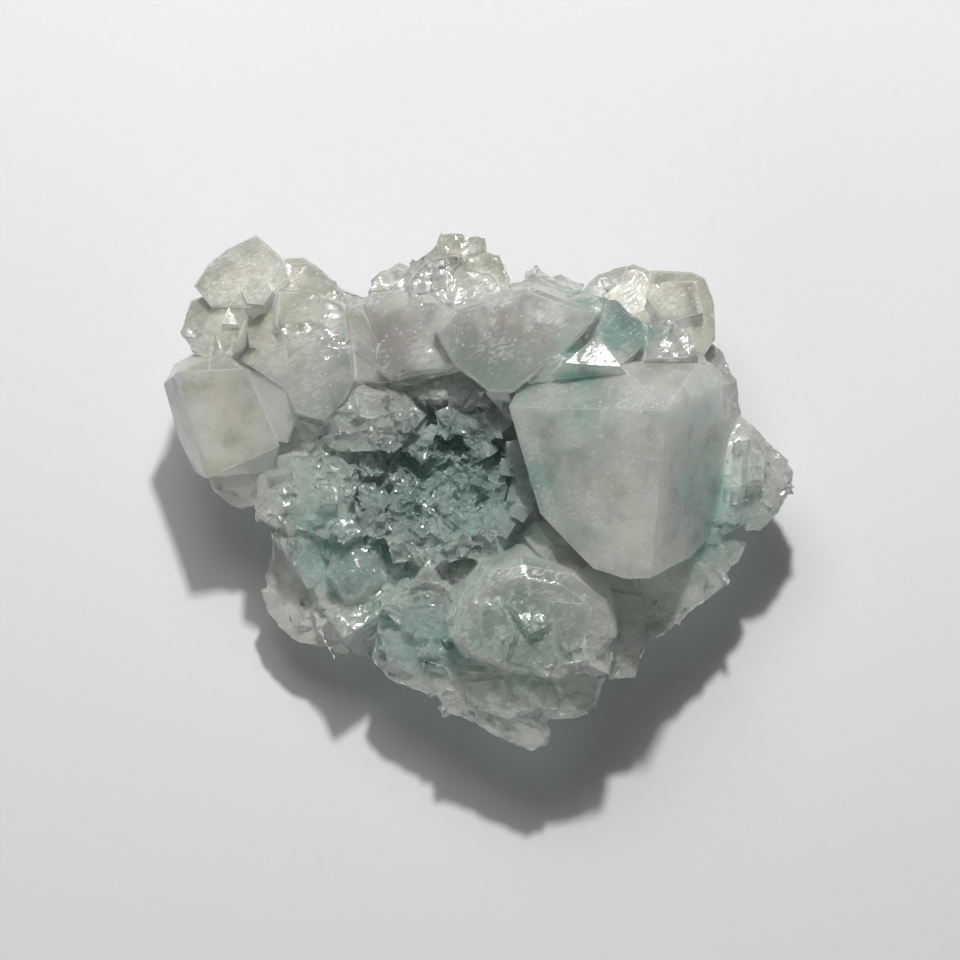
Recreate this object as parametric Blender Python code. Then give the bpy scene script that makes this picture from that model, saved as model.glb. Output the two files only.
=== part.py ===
"""Fluorite specimen: one intergrown cluster of cube-shaped crystals, 80 mm across.

Run it with: blender --background --python part.py

The frame: +X is to the right and +Y away from someone who looks down on the cluster, +Z is up,
and the origin is the middle of the cluster's bounding box, on the surface that it rests on.
"""

import math
import random
from collections import namedtuple

import bmesh
import bpy
from mathutils import Matrix, Vector

# Lengths are in millimetres in the tables, and in metres in the scene.
MM = 0.001

# Corners of the joined crystals that lie closer together than this are one.
SLIVER = 0.001

# What is cut away below the base.
BASE_WIDTH = 160.0
BASE_DEPTH = 8.0

# The small crystals are turned and sized at random, always in the same way.
SEED = 582
FULL_TURN = 360.0

# The material: fluorite bends light less than most minerals do, and this one is half milky.
PALE_GREEN = (0.56, 0.66, 0.60, 1.0)
ROUGHNESS = 0.25
FLUORITE_IOR = 1.434
CLEARNESS = 0.5

# Profiles of a crystal's front: each pair is the share of the full outline that a ring has, and
# how far it lies behind the front, as a share of the crystal's mean radius.
FLAT = ((1.0, 0.0),)
BEVEL = ((0.93, 0.0), (1.0, 0.09))
BLUNT = ((0.74, 0.0), (0.93, 0.1), (1.0, 0.28))
DOME = ((0.42, 0.0), (0.78, 0.16), (1.0, 0.48))

# Each crystal has a flat front, the face that looks up and outwards. z is the height of its
# middle, lean is how far it leans over and lean_to the heading that it leans to, in degrees
# anticlockwise from +X. The sides run back from it at right angles for depth, and flare is the
# size of the back against the front. The front is its outline as seen from above.
Crystal = namedtuple("Crystal", "name z lean_to lean depth flare profile front")

CRYSTALS = (
    # Upper centre: the second largest, and the small ones around it.
    Crystal("second", 26.5, 235, 7, 14, 1.08, BEVEL, (
        (-5.8, 20.0), (-3.5, 22.4), (6.1, 25.4), (14.8, 22.1), (10.6, 17.4), (3.8, 12.2),
        (1.0, 12.3), (-3.4, 15.6))),
    Crystal("glint_triangle", 29.6, 92, 16, 9, 2.2, FLAT, (
        (14.4, 19.6), (10.3, 16.0), (17.2, 15.5))),
    Crystal("streaky_face", 25.5, 55, 24, 12, 1.15, FLAT, (
        (14.4, 20.0), (15.1, 24.4), (16.9, 23.9), (20.8, 20.9), (20.3, 18.3), (16.6, 15.2))),
    Crystal("teal_lump", 24.5, 100, 18, 9, 1.2, BLUNT, (
        (9.6, 24.4), (12.6, 25.8), (15.4, 24.6), (15.4, 21.5), (11.0, 21.8))),
    Crystal("small_pentagon", 25.5, 75, 16, 12, 1.3, BEVEL, (
        (20.4, 21.0), (23.5, 21.9), (26.0, 19.9), (27.0, 16.8), (20.2, 16.4))),
    Crystal("notch_lump", 26.0, 200, 25, 8, 1.3, BLUNT, (
        (5.4, 15.3), (8.8, 17.8), (10.6, 16.6), (8.6, 13.6), (5.6, 13.2))),
    # Upper right: two pale crystals that stand back and lower.
    Crystal("pale_left", 16.5, 105, 18, 8, 0.8, BLUNT, (
        (12.4, 25.6), (13.8, 27.3), (16.4, 28.6), (19.0, 29.1), (21.6, 27.9), (22.8, 24.6),
        (20.4, 20.8), (14.6, 21.6))),
    Crystal("pale_right", 17.5, 20, 18, 9, 0.78, BEVEL, (
        (21.4, 27.8), (26.6, 27.6), (28.2, 26.8), (29.3, 23.9), (29.6, 19.1), (27.6, 16.6),
        (23.2, 20.4), (20.8, 24.2))),
    Crystal("pale_right_ridge", 19.0, 80, 24, 8, 1.4, FLAT, (
        (20.8, 24.0), (22.6, 26.2), (26.8, 26.4), (27.6, 22.4), (23.4, 21.2))),
    Crystal("below_pale_right", 14.0, 20, 28, 8, 0.9, BEVEL, (
        (29.0, 19.2), (30.5, 17.9), (32.2, 14.1), (32.6, 11.0), (29.4, 9.6), (26.4, 16.4))),
    # Top: small crystals at the back edge.
    Crystal("top_cap", 15.0, 75, 24, 6, 0.8, BLUNT, (
        (-5.7, 31.6), (-5.3, 32.9), (-1.9, 32.8), (0.9, 32.1), (1.1, 30.2), (-2.0, 29.0),
        (-4.6, 29.6))),
    Crystal("top_shoulder", 18.0, 45, 22, 8, 0.85, BLUNT, (
        (-1.8, 29.6), (1.0, 30.5), (2.6, 30.1), (3.6, 28.6), (4.1, 26.6), (3.6, 24.6),
        (-1.2, 24.8))),
    Crystal("top_facet", 21.0, 94, 16, 12, 1.2, BEVEL, (
        (-9.2, 26.6), (-6.6, 29.6), (-4.4, 29.4), (-2.4, 27.0), (-3.4, 23.6), (-8.6, 23.4))),
    Crystal("top_grey", 19.0, 140, 24, 9, 0.9, BEVEL, (
        (-12.2, 24.4), (-8.4, 29.2), (-6.9, 30.0), (-5.2, 31.4), (-4.4, 27.4), (-5.6, 22.4),
        (-11.0, 21.6))),
    Crystal("top_middle", 20.5, 70, 18, 10, 1.1, BEVEL, (
        (-4.2, 26.6), (-2.6, 28.6), (1.6, 27.6), (3.0, 24.4), (0.4, 22.4), (-3.6, 23.0))),
    Crystal("back_pale", 11.0, 115, 24, 6, 0.8, BLUNT, (
        (-14.6, 25.3), (-14.2, 27.1), (-13.0, 28.4), (-10.1, 29.4), (-8.4, 28.6), (-8.6, 24.0),
        (-13.4, 22.6))),
    Crystal("small_peak", 21.0, 80, 24, 10, 1.1, FLAT, (
        (4.4, 25.4), (6.6, 27.6), (8.8, 25.6), (7.6, 22.6), (4.8, 22.8))),
    Crystal("small_pale", 12.5, 80, 20, 7, 0.9, BLUNT, (
        (5.2, 26.9), (6.8, 27.7), (10.4, 27.8), (12.3, 25.8), (11.8, 22.8), (5.4, 22.6))),
    # Upper left of the middle: a broad grey-green crystal with a rough face.
    Crystal("grey_green", 22.5, 170, 8, 13, 1.15, BEVEL, (
        (-15.2, 24.2), (-10.8, 25.0), (-6.2, 25.2), (-3.4, 22.2), (-5.4, 19.8), (-3.2, 15.6),
        (-11.2, 13.8), (-16.0, 17.4))),
    Crystal("grey_green_side", 21.5, 200, 24, 11, 1.3, BEVEL, (
        (-17.0, 22.6), (-14.6, 23.4), (-12.6, 18.4), (-13.2, 13.6), (-16.4, 13.2))),
    Crystal("crescent", 20.5, 265, 12, 6, 1.6, FLAT, (
        (-11.3, 13.8), (-8.6, 15.2), (-6.2, 15.8), (-3.6, 15.0), (-5.6, 14.2), (-8.6, 13.2))),
    Crystal("green_dome", 19.0, 270, 24, 7, 1.3, DOME, (
        (-9.0, 12.2), (-7.6, 13.9), (-4.6, 14.1), (-3.4, 12.6), (-4.6, 10.8), (-7.6, 10.4))),
    Crystal("dark_dome", 19.6, 262, 16, 8, 1.3, DOME, (
        (-4.9, 12.0), (-4.0, 13.8), (-1.6, 14.3), (0.2, 13.0), (0.2, 10.6), (-1.6, 9.4),
        (-4.0, 9.9))),
    Crystal("under_second", 19.0, 250, 34, 8, 1.2, BEVEL, (
        (-0.6, 12.6), (3.4, 12.9), (4.4, 10.0), (0.4, 9.2))),
    Crystal("lens", 18.6, 268, 20, 7, 1.4, FLAT, (
        (-5.2, 9.0), (-2.4, 9.8), (0.2, 9.5), (3.2, 8.0), (0.6, 6.8), (-2.6, 6.7))),
    # Upper left: pale crystals stepped over each other.
    Crystal("left_back", 23.5, 120, 14, 9, 0.86, BEVEL, (
        (-27.9, 32.1), (-24.9, 29.6), (-23.6, 26.4), (-27.4, 23.0), (-33.4, 23.0), (-35.7, 25.7),
        (-33.9, 28.4), (-31.6, 30.3))),
    Crystal("left_back_right", 22.8, 50, 16, 9, 0.84, BLUNT, (
        (-25.4, 29.4), (-21.8, 29.5), (-19.2, 27.9), (-17.3, 25.9), (-16.2, 24.2), (-16.4, 20.6),
        (-20.0, 21.4), (-24.8, 25.2))),
    Crystal("left_hexagon", 25.4, 100, 10, 8, 1.5, FLAT, (
        (-29.6, 25.0), (-28.5, 26.7), (-26.7, 26.6), (-25.7, 24.9), (-26.9, 23.2),
        (-28.9, 23.4))),
    Crystal("left_point", 22.6, 150, 18, 9, 0.82, BEVEL, (
        (-36.1, 24.0), (-37.7, 19.9), (-36.0, 17.4), (-32.6, 16.4), (-30.2, 18.2),
        (-28.8, 22.0), (-31.0, 25.6))),
    Crystal("left_glint", 24.2, 90, 16, 8, 2.2, FLAT, (
        (-32.0, 20.9), (-31.2, 23.0), (-30.0, 20.8))),
    Crystal("left_step", 24.6, 35, 10, 11, 1.2, BEVEL, (
        (-25.2, 25.2), (-20.6, 25.0), (-17.0, 23.4), (-16.0, 19.4), (-17.4, 16.6),
        (-22.6, 17.0), (-25.4, 20.6))),
    Crystal("left_corner", 22.4, 170, 18, 12, 1.3, FLAT, (
        (-29.0, 20.8), (-26.6, 22.8), (-24.6, 20.0), (-26.4, 17.4), (-28.8, 18.0))),
    # Left of the middle: a flat crystal with small ones below it.
    Crystal("left_plate", 24.4, 300, 7, 12, 1.3, BEVEL, (
        (-28.6, 15.6), (-27.1, 17.5), (-23.6, 18.8), (-15.9, 18.2), (-15.5, 13.6),
        (-16.6, 11.6), (-19.4, 8.8), (-23.0, 9.8), (-24.4, 13.0))),
    Crystal("left_blue_facet", 22.4, 245, 26, 10, 1.3, FLAT, (
        (-28.9, 15.3), (-24.4, 13.4), (-22.8, 9.6), (-24.0, 6.2), (-26.2, 6.6))),
    Crystal("bright_triangle", 22.6, 92, 16, 8, 2.2, FLAT, (
        (-18.2, 10.4), (-14.9, 11.9), (-14.7, 9.7))),
    Crystal("around_triangle", 22.0, 280, 12, 11, 1.4, BEVEL, (
        (-19.6, 8.9), (-18.0, 11.2), (-14.6, 12.8), (-11.8, 11.8), (-12.2, 8.2), (-16.4, 6.7))),
    Crystal("beige_bar", 20.4, 272, 22, 7, 1.4, FLAT, (
        (-19.9, 6.8), (-15.0, 7.6), (-11.3, 5.4), (-14.8, 4.9), (-19.0, 5.1))),
    Crystal("broken_edge", 21.0, 330, 22, 8, 1.2, FLAT, (
        (-14.0, 9.8), (-11.6, 9.6), (-10.0, 7.4), (-10.4, 5.6), (-12.2, 4.9), (-13.8, 6.6))),
    Crystal("thin_edge", 20.0, 20, 18, 7, 1.2, BEVEL, (
        (-11.8, 13.2), (-8.8, 12.4), (-6.4, 9.6), (-8.2, 7.6), (-10.8, 9.0))),
    Crystal("pocket_side", 19.6, 250, 24, 10, 1.3, BEVEL, (
        (-23.4, 9.4), (-19.8, 8.4), (-19.2, 4.6), (-22.2, 4.2))),
    Crystal("below_prism", 15.5, 245, 24, 7, 0.8, BLUNT, (
        (-33.9, -0.1), (-31.6, -2.3), (-29.9, -2.7), (-27.8, -2.2), (-26.6, 2.2), (-29.8, 4.2),
        (-34.4, 2.2))),
    # Lower left: a bright ledge, and lower crystals in its shadow.
    Crystal("ledge_left", 18.4, 235, 18, 8, 0.85, BEVEL, (
        (-28.6, -2.0), (-28.2, -3.8), (-24.9, -4.6), (-23.2, -1.2), (-23.6, 4.8), (-27.4, 4.2))),
    Crystal("ledge_right", 18.0, 265, 11, 11, 1.05, BEVEL, (
        (-25.0, -3.8), (-23.9, -5.7), (-21.0, -5.5), (-19.2, -6.5), (-16.6, -4.2), (-15.4, 1.8),
        (-17.8, 5.4), (-23.6, 5.0))),
    Crystal("ledge_round", 18.6, 290, 16, 8, 1.3, DOME, (
        (-22.6, -1.4), (-21.6, 1.4), (-18.8, 2.6), (-16.4, 1.0), (-16.2, -2.0), (-18.4, -4.0),
        (-21.2, -3.4))),
    Crystal("grey_glassy", 10.5, 190, 18, 7, 0.8, BLUNT, (
        (-26.9, -4.6), (-26.9, -7.4), (-27.8, -10.6), (-27.2, -13.0), (-21.4, -14.2),
        (-18.4, -10.0), (-18.6, -4.6))),
    Crystal("yellow_flat", 9.6, 225, 16, 6, 0.85, BEVEL, (
        (-27.9, -12.2), (-27.2, -15.0), (-25.8, -17.1), (-23.4, -19.1), (-20.2, -19.7),
        (-17.4, -17.6), (-21.6, -11.4))),
    Crystal("yellow_rim", 9.0, 262, 20, 6, 0.8, BEVEL, (
        (-20.8, -19.5), (-17.3, -20.9), (-14.0, -21.1), (-11.6, -17.0), (-15.6, -12.6),
        (-19.6, -14.4))),
    Crystal("round_green", 18.0, 240, 14, 11, 1.3, DOME, (
        (-19.8, -11.0), (-19.0, -7.6), (-16.2, -6.4), (-13.4, -8.0), (-12.6, -11.2),
        (-14.4, -14.4), (-17.4, -14.8))),
    Crystal("large_triangle", 19.8, 92, 16, 9, 2.6, FLAT, (
        (-6.5, -7.8), (-8.6, -11.4), (-4.7, -11.6))),
    Crystal("smooth_green", 18.4, 262, 20, 12, 1.4, BEVEL, (
        (-12.7, -14.3), (-9.4, -12.2), (-4.4, -12.6), (-3.6, -17.2), (-5.0, -19.0),
        (-9.4, -18.4))),
    Crystal("lower_left_slope", 14.5, 228, 26, 8, 0.85, BEVEL, (
        (-14.2, -20.9), (-12.1, -23.2), (-10.5, -24.5), (-8.4, -25.0), (-6.0, -26.1),
        (-2.8, -22.4), (-5.6, -16.6), (-12.8, -15.2))),
    Crystal("lower_left_plate", 16.0, 250, 26, 10, 1.2, FLAT, (
        (-13.0, -17.6), (-9.0, -17.0), (-6.0, -19.6), (-8.6, -22.6), (-11.6, -21.8))),
    # Bottom centre: a large blunt crystal, and the wedge that ends in the lowest corner.
    Crystal("large_blunt", 23.8, 262, 8, 14, 1.15, BLUNT, (
        (-4.1, -18.4), (-2.1, -21.1), (2.9, -22.8), (9.8, -24.0), (14.0, -22.6), (16.9, -18.4),
        (16.2, -13.2), (11.8, -9.8), (5.0, -8.4), (0.0, -9.6), (-2.9, -13.2))),
    Crystal("large_blunt_left", 23.9, 215, 17, 10, 1.5, BEVEL, (
        (-3.4, -17.8), (-1.4, -20.6), (3.2, -21.6), (4.6, -17.6), (2.4, -13.2), (-1.8, -13.6))),
    Crystal("large_blunt_right", 24.0, 340, 17, 10, 1.5, BEVEL, (
        (8.4, -13.0), (12.8, -13.4), (16.0, -16.0), (15.8, -20.0), (12.4, -22.6), (9.6, -18.6))),
    Crystal("large_blunt_top", 24.4, 60, 14, 10, 1.6, FLAT, (
        (3.0, -13.6), (5.2, -10.4), (9.4, -11.2), (10.4, -15.2), (6.2, -17.6))),
    Crystal("lower_right_lobe", 18.6, 300, 22, 9, 0.9, BLUNT, (
        (3.4, -24.0), (6.0, -27.2), (9.4, -29.1), (12.6, -28.7), (15.0, -27.1), (16.4, -23.2),
        (13.6, -20.0), (6.0, -20.6))),
    Crystal("wedge", 15.0, 248, 24, 8, 0.8, BEVEL, (
        (-5.0, -27.5), (-6.0, -25.8), (-3.4, -21.8), (3.4, -22.0), (8.6, -28.0), (9.0, -30.4),
        (8.3, -31.9), (6.8, -32.9), (4.7, -32.1), (1.5, -30.8), (-0.9, -29.1))),
    Crystal("wedge_facet", 17.0, 235, 26, 9, 1.3, FLAT, (
        (-2.6, -23.6), (2.8, -23.2), (6.2, -27.0), (3.4, -28.6), (-0.8, -26.8))),
    Crystal("light_lump", 21.0, 300, 20, 8, 1.3, BLUNT, (
        (7.2, -7.6), (8.6, -6.2), (12.0, -6.6), (14.0, -8.4), (12.6, -10.4), (8.6, -10.2))),
    # Lower right: crystals at the rim below the large cube.
    Crystal("right_facet", 17.5, 300, 22, 9, 0.9, BEVEL, (
        (15.8, -23.9), (19.5, -23.4), (21.2, -19.0), (20.4, -12.6), (15.6, -11.8),
        (14.4, -18.6))),
    Crystal("right_rim", 16.5, 305, 20, 9, 0.9, BEVEL, (
        (20.4, -19.6), (23.5, -18.0), (26.0, -15.6), (28.7, -13.6), (28.6, -9.4), (24.0, -6.6),
        (19.2, -10.6))),
    Crystal("right_rim_end", 15.0, 320, 22, 8, 0.85, BEVEL, (
        (27.4, -14.4), (31.0, -11.8), (30.8, -10.4), (32.4, -8.8), (33.6, -6.4), (30.6, -3.4),
        (26.2, -7.6))),
    Crystal("right_rim_step", 17.0, 290, 30, 8, 1.0, FLAT, (
        (19.8, -11.2), (22.2, -9.2), (25.0, -12.4), (23.4, -15.6), (20.4, -15.8))),
    Crystal("right_clear", 16.0, 350, 18, 9, 0.72, BLUNT, (
        (32.6, 10.0), (34.7, 8.5), (37.2, 6.1), (39.2, 4.2), (39.9, 2.1), (39.2, -0.4),
        (37.6, -3.0), (35.6, -5.2), (33.6, -5.2), (30.4, -2.0), (30.4, 6.4))),
    Crystal("right_clear_block", 18.6, 20, 26, 8, 1.05, BEVEL, (
        (32.2, 6.6), (34.4, 7.2), (36.4, 4.2), (35.2, 0.6), (32.4, 0.8))),
    Crystal("right_sliver", 17.4, 320, 30, 8, 1.0, FLAT, (
        (31.4, 1.6), (32.6, 0.4), (33.2, -4.4), (30.2, -5.4))),
    Crystal("grey_lobe", 16.8, 250, 14, 8, 1.1, BLUNT, (
        (-11.8, -1.0), (-11.2, 1.2), (-9.2, 1.4), (-8.0, -0.6), (-8.4, -3.8), (-10.0, -4.8),
        (-11.6, -3.6))),
)

# The crystals whose faces are seen from several sides are given by their corners.
CORNERS = {
    "large_cube": (
        (3.4, 10.6, 26.0), (22.8, 10.1, 36.0), (20.8, -10.5, 30.4), (17.8, -10.6, 28.6),
        (13.9, -9.4, 27.0), (7.3, -2.6, 25.1), (5.6, 14.9, 22.7), (17.0, 15.8, 26.9),
        (27.5, 17.5, 22.0), (32.1, 14.1, 18.2), (32.8, 9.8, 14.9), (31.6, 1.6, 13.5),
        (29.9, -4.6, 13.9), (26.0, -8.0, 20.6), (23.6, -8.6, 12.0), (14.0, -5.0, 10.0),
        (9.0, 11.0, 10.0), (28.0, 10.0, 10.0)),
    "left_prism": (
        (-37.6, 15.0, 22.4), (-34.2, 1.8, 19.6), (-29.0, 15.4, 25.6), (-24.9, 5.8, 23.0),
        (-39.6, 13.6, 16.6), (-37.8, 6.8, 14.4), (-35.8, 2.6, 14.0), (-35.6, 17.4, 20.6),
        (-31.6, 17.4, 24.0), (-26.0, 2.6, 19.0), (-38.4, 16.0, 16.0), (-36.0, 12.0, 9.5),
        (-33.0, 4.0, 10.0), (-26.0, 6.0, 10.0), (-28.0, 14.0, 10.0)),
}

# The body that all of them grew from, as rings from the base up: height, and size as a share of
# its outline.
CORE_OUTLINE = (
    (-32.0, 10.0), (-33.0, 20.0), (-27.0, 26.0), (-19.0, 23.0), (-10.0, 25.0), (-2.0, 27.0),
    (8.0, 24.0), (16.0, 25.0), (25.0, 23.0), (27.0, 14.0), (31.0, 6.0), (33.0, -1.0),
    (29.0, -8.0), (22.0, -15.0), (15.0, -21.0), (6.0, -27.0), (-3.0, -24.0), (-13.0, -21.5),
    (-24.5, -17.0), (-26.0, -9.0), (-24.0, -2.0), (-29.0, 3.0))
CORE_RINGS = ((-4.0, 0.38), (1.5, 0.56), (5.0, 0.76), (9.0, 0.88), (13.5, 0.84))

# Small crystals that line the hollow in the middle.
HOLLOW_CENTRE = (-6.0, 0.5)
HOLLOW_RADII = (13.5, 9.0)
HOLLOW_FLOOR = 13.0
HOLLOW_RISE = 5.0
HOLLOW_PITCH = 2.6
HOLLOW_JITTER = 0.3
HOLLOW_STEP = 2.4
HOLLOW_EDGES = (1.9, 3.8)
HOLLOW_LEANS = (8.0, 48.0)
HOLLOW_SHAPES = (0.75, 1.1)
HOLLOW_ROOT = 3.0

# Crystals round the sides and under the rim, which grew outwards and down. Each ring has its
# height, its share of the core's outline, how many there are, the smallest and the largest edge,
# and how far they lean from upright.
SideRing = namedtuple("SideRing", "height share number smallest largest lean")
SIDE_RINGS = (
    SideRing(13.6, 0.93, 20, 5.0, 8.0, 68.0),
    SideRing(8.5, 0.92, 20, 6.0, 9.5, 98.0),
    SideRing(3.2, 0.66, 14, 6.0, 9.5, 132.0))
SIDE_JITTER = 0.25
SIDE_RISE = 1.5
SIDE_SWING = 24.0
SIDE_TILT = 16.0
SIDE_ROOT = 4.0

# Small crystals on the edges of the larger ones, except on those with clean edges.
CLEAN = ("second", "glint_triangle", "left_glint", "bright_triangle", "large_triangle",
         "left_hexagon", "crescent", "lens", "streaky_face", "top_cap", "pale_right",
         "pale_right_ridge", "pale_left", "small_pentagon", "large_blunt_top")
NUB_SHARE = 0.28
NUB_EDGES = (1.8, 3.8)
NUB_LEANS = (16.0, 52.0)
NUB_PLACES = (0.3, 0.7)
NUB_ROOT = 2.0

# Side and edge crystals: the range of their second width, as a share of the first.
WIDTH_SHAPES = (0.7, 1.0)


def main():
    clear_scene()
    random.seed(SEED)
    shells = [ring_shell(CORE_RINGS)]
    shells += [corner_shell(corners) for corners in CORNERS.values()]
    shells += [crystal_shell(row) for row in CRYSTALS]
    shells += hollow_shells()
    shells += nub_shells()
    shells += side_shells()
    shift = to_middle(shells)
    core = add_object("core", shells[:1], shift)
    grown = add_object("grown_crystals", shells[1:], shift)
    base = add_base()
    join(core, grown, "UNION", "grow", True)
    join(core, base, "DIFFERENCE", "broken_base", False)
    cluster = outer_skin(core)
    cluster.data.materials.append(fluorite())
    for tool in (core, grown, base):
        bpy.data.objects.remove(tool)


def clear_scene():
    for item in list(bpy.data.objects):
        bpy.data.objects.remove(item)


def heading(degrees, lean):
    """Return the unit vector that leans by lean degrees from upright towards a heading."""
    side = math.sin(math.radians(lean))
    turn = math.radians(degrees)
    return Vector((side * math.cos(turn), side * math.sin(turn), math.cos(math.radians(lean))))


def crystal_shell(row):
    """Return the rings of a crystal with a flat front and sides that run straight back."""
    normal = heading(row.lean_to, row.lean)
    count = len(row.front)
    middle = Vector((sum(p[0] for p in row.front) / count, sum(p[1] for p in row.front) / count))
    reach = [Vector(p) - middle for p in row.front]
    reach = [Vector((r.x, r.y, -(normal.x * r.x + normal.y * r.y) / normal.z)) for r in reach]
    centre = Vector((middle.x, middle.y, row.z))
    radius = sum(r.length for r in reach) / count
    rings = [[centre + r * share - normal * drop * radius for r in reach]
             for share, drop in row.profile]
    rings.append([centre + r * row.flare - normal * row.depth for r in reach])
    return rings


def block_shell(centre, normal, spin, widths, depth):
    """Return the rings of a plain block: its front's centre, normal, spin and sizes."""
    turn = normal.to_track_quat("Z", "Y").to_matrix() @ Matrix.Rotation(spin, 3, "Z")
    signs = [(1, 1), (-1, 1), (-1, -1), (1, -1)]
    front = [centre + turn @ Vector((x * widths[0] / 2.0, y * widths[1] / 2.0, 0.0))
             for x, y in signs]
    back = [p - normal * depth for p in front]
    return [front, back]


def ring_shell(rings):
    """Return the core: its outline at each height, sized about the middle."""
    return [[Vector((x * share, y * share, z)) for x, y in CORE_OUTLINE]
            for z, share in reversed(rings)]


def corner_shell(corners):
    """Return a crystal given by its corners alone."""
    return [Vector(corner) for corner in corners]


def hollow_shells():
    """Return the small crystals on the floor and walls of the hollow, each turned its own way."""
    shells = []
    rows = int(HOLLOW_RADII[1] / HOLLOW_PITCH) + 1
    columns = int(HOLLOW_RADII[0] / HOLLOW_PITCH) + 1
    for row in range(-rows, rows + 1):
        for column in range(-columns, columns + 1):
            x = (column + 0.5 * (row % 2) + spread(HOLLOW_JITTER)) * HOLLOW_PITCH
            y = (row + spread(HOLLOW_JITTER)) * HOLLOW_PITCH
            out = math.hypot(x / HOLLOW_RADII[0], y / HOLLOW_RADII[1])
            edge = random.uniform(*HOLLOW_EDGES)
            widths = (edge, edge * random.uniform(*HOLLOW_SHAPES))
            height = HOLLOW_FLOOR + HOLLOW_RISE * out * out + random.uniform(0.0, HOLLOW_STEP)
            normal = heading(random.uniform(0.0, FULL_TURN), random.uniform(*HOLLOW_LEANS))
            spin = random.uniform(0.0, math.pi)
            if out < 1.0:
                centre = Vector((HOLLOW_CENTRE[0] + x, HOLLOW_CENTRE[1] + y, height))
                shells.append(block_shell(centre, normal, spin, widths, edge + HOLLOW_ROOT))
    return shells


def nub_shells():
    """Return the small crystals that stand on edges of the larger ones."""
    shells = []
    for row in CRYSTALS:
        if row.name in CLEAN:
            continue
        front = crystal_shell(row)[-2]
        middle = sum(front, Vector()) / len(front)
        for start, end in zip(front, front[1:] + front[:1]):
            place = start.lerp(end, random.uniform(*NUB_PLACES))
            edge = random.uniform(*NUB_EDGES)
            widths = (edge, edge * random.uniform(*WIDTH_SHAPES))
            normal = heading(random.uniform(0.0, FULL_TURN), random.uniform(*NUB_LEANS))
            spin = random.uniform(0.0, math.pi)
            if random.random() < NUB_SHARE and inside(CORE_OUTLINE, place):
                centre = place + (middle - place).normalized() * edge / 2.0
                shells.append(block_shell(centre, normal, spin, widths, edge + NUB_ROOT))
    return shells


def spread(limit):
    """Return a random number between -limit and limit."""
    return random.uniform(-limit, limit)


def inside(outline, point):
    """Return whether a point lies within an outline, as seen from above."""
    crossings = 0
    for (x0, y0), (x1, y1) in zip(outline, outline[1:] + outline[:1]):
        if (y0 > point.y) != (y1 > point.y):
            x = x0 + (point.y - y0) * (x1 - x0) / (y1 - y0)
            crossings += x > point.x
    return crossings % 2 == 1


def side_shells():
    """Return the crystals round the sides and under the rim."""
    shells = []
    count = len(CORE_OUTLINE)
    for ring in SIDE_RINGS:
        for index in range(ring.number):
            place = (index + spread(SIDE_JITTER)) / ring.number * count
            start = Vector(CORE_OUTLINE[int(place) % count])
            end = Vector(CORE_OUTLINE[(int(place) + 1) % count])
            point = start.lerp(end, place % 1.0) * ring.share
            out = math.degrees(math.atan2(point.y, point.x)) + spread(SIDE_SWING)
            normal = heading(out, ring.lean + spread(SIDE_TILT))
            edge = random.uniform(ring.smallest, ring.largest)
            widths = (edge, edge * random.uniform(*WIDTH_SHAPES))
            centre = Vector((point.x, point.y, ring.height + spread(SIDE_RISE)))
            spin = random.uniform(0.0, math.pi)
            shells.append(block_shell(centre, normal, spin, widths, edge + SIDE_ROOT))
    return shells


def points_of(shell):
    if isinstance(shell[0], list):
        return [point for ring in shell for point in ring]
    return shell


def to_middle(shells):
    """Return the shift that puts the middle of everything above the base at x = y = 0."""
    above = [p for shell in shells for p in points_of(shell) if p.z > 0.0]
    xs = [p.x for p in above]
    ys = [p.y for p in above]
    return Vector((-(min(xs) + max(xs)) / 2.0, -(min(ys) + max(ys)) / 2.0, 0.0))


def add_object(name, shells, shift):
    """Return a new object that holds each shell as a closed body of its own."""
    bm = bmesh.new()
    for shell in shells:
        if isinstance(shell[0], list):
            close_rings(bm, [[(p + shift) * MM for p in ring] for ring in shell])
        else:
            close_corners(bm, [(p + shift) * MM for p in shell])
    mesh = bpy.data.meshes.new(name)
    bm.to_mesh(mesh)
    bm.free()
    item = bpy.data.objects.new(name, mesh)
    bpy.context.scene.collection.objects.link(item)
    return item


def close_rings(bm, rings):
    """Add a body whose sides join each ring to the next, closed at the first and the last."""
    rows = [[bm.verts.new(point) for point in ring] for ring in rings]
    faces = [bm.faces.new(rows[0]), bm.faces.new(list(reversed(rows[-1])))]
    for upper, lower in zip(rows, rows[1:]):
        for index in range(len(upper)):
            after = (index + 1) % len(upper)
            faces.append(bm.faces.new((upper[after], upper[index], lower[index], lower[after])))
    bmesh.ops.recalc_face_normals(bm, faces=faces)


def close_corners(bm, corners):
    """Add the convex body that has these corners."""
    verts = [bm.verts.new(corner) for corner in corners]
    made = bmesh.ops.convex_hull(bm, input=verts)
    spare = [v for v in made["geom_interior"] if isinstance(v, bmesh.types.BMVert)]
    bmesh.ops.delete(bm, geom=spare, context="VERTS")


def add_base():
    """Return the block that is cut away below the flat broken base."""
    bm = bmesh.new()
    bmesh.ops.create_cube(bm, size=1.0)
    size = Matrix.Diagonal((BASE_WIDTH * MM, BASE_WIDTH * MM, BASE_DEPTH * MM, 1.0))
    down = Matrix.Translation((0.0, 0.0, -BASE_DEPTH * MM / 2.0))
    bm.transform(down @ size)
    mesh = bpy.data.meshes.new("base_cut")
    bm.to_mesh(mesh)
    bm.free()
    item = bpy.data.objects.new("base_cut", mesh)
    bpy.context.scene.collection.objects.link(item)
    return item


def join(body, operand, operation, name, overlapping):
    """Join or cut one object with another, which is then only a tool and isn't rendered."""
    modifier = body.modifiers.new(name, "BOOLEAN")
    modifier.operation = operation
    modifier.solver = "EXACT"
    modifier.use_self = overlapping
    modifier.object = operand
    operand.display_type = "WIRE"
    operand.hide_render = True


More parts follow.
